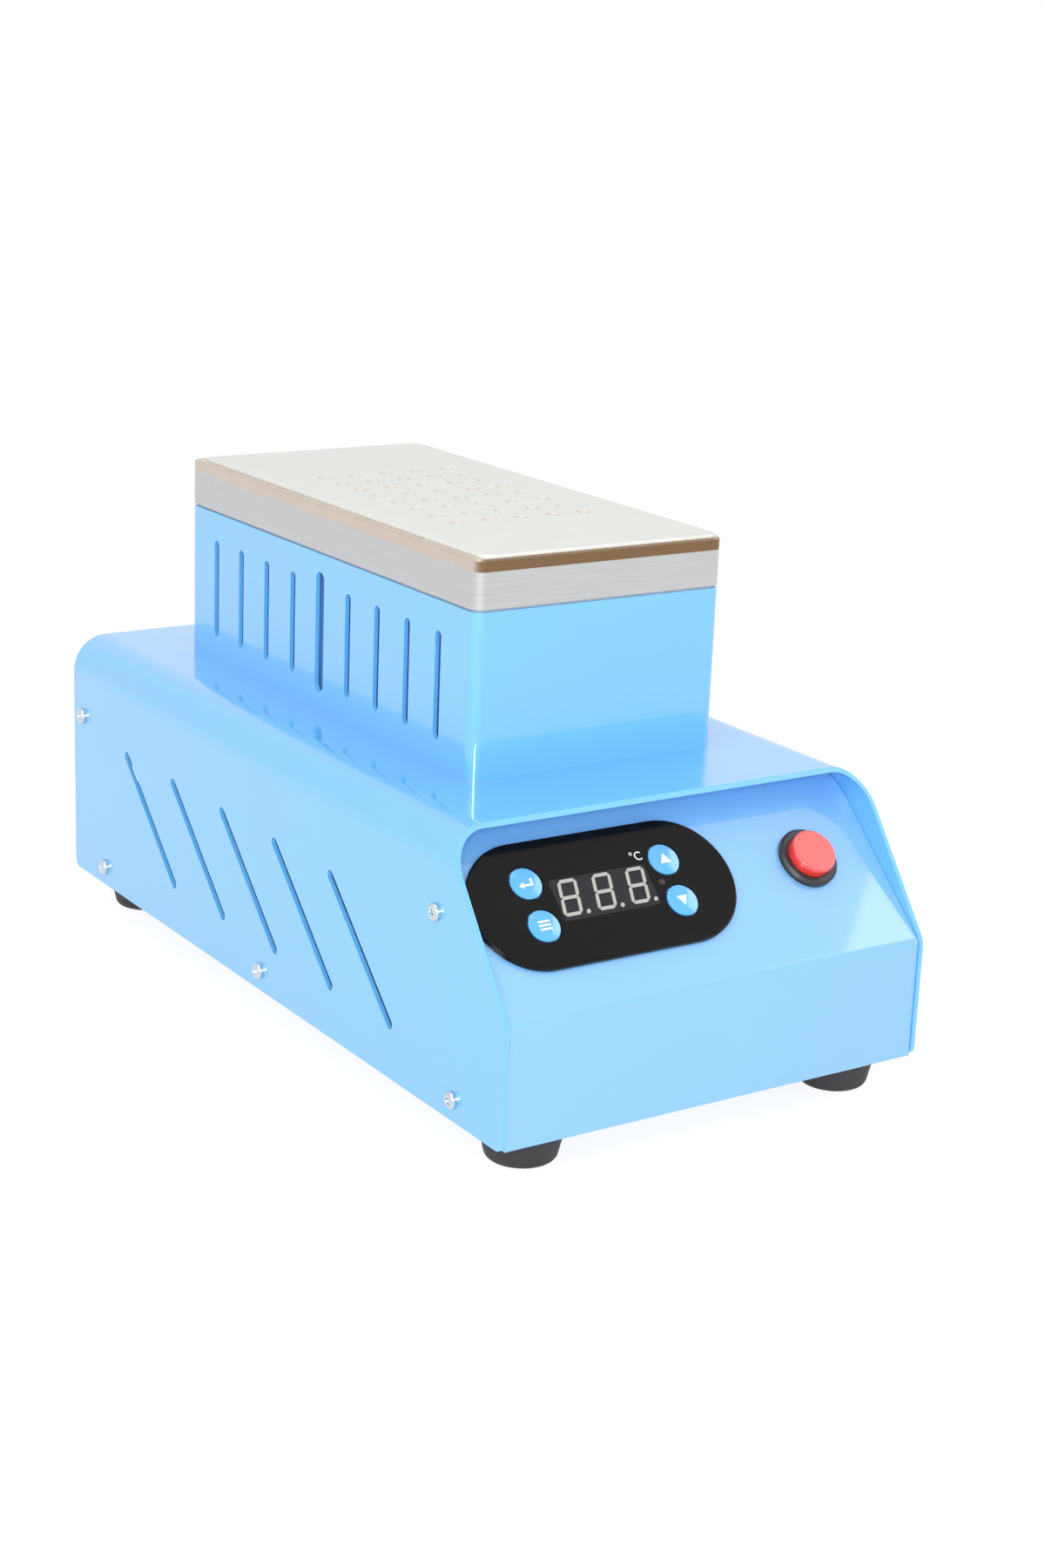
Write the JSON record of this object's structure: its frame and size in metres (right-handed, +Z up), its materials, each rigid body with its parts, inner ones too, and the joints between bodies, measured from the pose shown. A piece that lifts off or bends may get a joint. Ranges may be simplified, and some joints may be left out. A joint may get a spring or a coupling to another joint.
{
  "type": "heated vacuum screen separator",
  "caption": "Sheet-metal bench unit with a sloping control panel and a slotted tower that carries a heated, perforated suction plate for parting the glass of flat screens.",
  "frame": {"origin": "on the floor below the middle of the hood", "axes": "+Z up, +Y from the control panel to the rear, +X to the right of someone at the panel"},
  "size_m": [0.164, 0.3, 0.1723],
  "materials": {
    "body_paint": "gloss light blue",
    "tray_paint": "satin light blue",
    "inner_paint": "satin blue",
    "brushed_aluminium": "brushed",
    "bronze_aluminium": "polished, tinted",
    "silicone_sheet": "matte pale grey",
    "bright_nickel": "bright",
    "seal_rubber": "matte black",
    "foot_rubber": "matte black",
    "steel": "brushed",
    "fibre_board": "matte off-white",
    "brass": "bright",
    "hose_silicone": "translucent white",
    "pump_nylon": "matte black",
    "circuit_board": "satin green",
    "ferrite": "matte dark grey",
    "capacitor_sleeve": "satin dark blue",
    "terminal_plastic": "matte black",
    "gloss_face": "gloss black",
    "smoked_window": "clear, slightly hazy",
    "display_body": "matte black",
    "black_plastic": "satin black",
    "rocker_plastic": "gloss black",
    "red_plastic": "gloss red",
    "blue_key": "gloss blue"
  },
  "bodies": {
    "body": {"hood": "body_paint", "front_panel": "body_paint", "rear_panel": "body_paint", "tower": "body_paint", "base_tray": "tray_paint", "heat_shield": "inner_paint", "vent_baffle_left": "inner_paint", "vent_baffle_right": "inner_paint", "heating_block": "brushed_aluminium", "suction_plate": "bronze_aluminium", "silicone_mat": "silicone_sheet", "hood_screws": "bright_nickel", "foot_screws": "bright_nickel", "tower_screws": "bright_nickel", "plate_screws": "bright_nickel", "clamp_screws": "bright_nickel", "inlet_screws": "bright_nickel", "block_gasket": "seal_rubber", "plate_seal": "seal_rubber", "pump_diaphragm": "seal_rubber", "pump_mounts": "seal_rubber", "foot_front_left": "foot_rubber", "foot_front_right": "foot_rubber", "foot_rear_left": "foot_rubber", "foot_rear_right": "foot_rubber", "heater_plate": "steel", "clamp_plate": "steel", "temperature_probe": "steel", "pump_motor": "steel", "pump_bracket": "steel", "insulation_board": "fibre_board", "vacuum_fitting": "brass", "inlet_pins": "brass", "vacuum_hose": "hose_silicone", "pump_crankcase": "pump_nylon", "pump_rod": "pump_nylon", "pump_valve_head": "pump_nylon", "board_posts": "pump_nylon", "supply_board": "circuit_board", "thermostat_board": "circuit_board", "supply_transformer": "ferrite", "supply_capacitors": "capacitor_sleeve", "supply_terminals": "terminal_plastic", "tact_switches": "terminal_plastic", "start_contact": "terminal_plastic", "thermostat_face": "gloss_face", "display_window": "smoked_window", "display_module": "display_body", "thermostat_housing": "black_plastic", "start_bezel": "black_plastic", "start_nut": "black_plastic", "inlet_socket": "black_plastic", "rocker_frame": "black_plastic"},
    "start_button": {"start_cap": "red_plastic"},
    "enter_key": {"key_enter": "blue_key"},
    "set_key": {"key_set": "blue_key"},
    "up_key": {"key_up": "blue_key"},
    "down_key": {"key_down": "blue_key"},
    "power_rocker": {"rocker": "rocker_plastic"},
    "rotor": {"pump_rotor": "steel"}
  },
  "joints": [
    {"name": "start_press", "type": "slide", "parent": "body", "child": "start_button", "axis": [0, 0.682, -0.7314], "range_m": [0, 0.003], "stiffness_N_per_m": 500, "springref_m": -0.002},
    {"name": "enter_press", "type": "slide", "parent": "body", "child": "enter_key", "axis": [0, 0.682, -0.7314], "range_m": [0, 0.0005], "stiffness_N_per_m": 2000, "springref_m": -0.0005},
    {"name": "set_press", "type": "slide", "parent": "body", "child": "set_key", "axis": [0, 0.682, -0.7314], "range_m": [0, 0.0005], "stiffness_N_per_m": 2000, "springref_m": -0.0005},
    {"name": "up_press", "type": "slide", "parent": "body", "child": "up_key", "axis": [0, 0.682, -0.7314], "range_m": [0, 0.0005], "stiffness_N_per_m": 2000, "springref_m": -0.0005},
    {"name": "down_press", "type": "slide", "parent": "body", "child": "down_key", "axis": [0, 0.682, -0.7314], "range_m": [0, 0.0005], "stiffness_N_per_m": 2000, "springref_m": -0.0005},
    {"name": "power_rock", "type": "hinge", "parent": "body", "child": "power_rocker", "pos_m": [-0.008, 0.1355, 0.0545], "axis": [1, 0, 0], "range_deg": [0, 20]},
    {"name": "rotor_spin", "type": "hinge", "parent": "body", "child": "rotor", "pos_m": [0.022, 0.021, 0.0445], "axis": [0, 1, 0], "continuous": true}
  ]
}
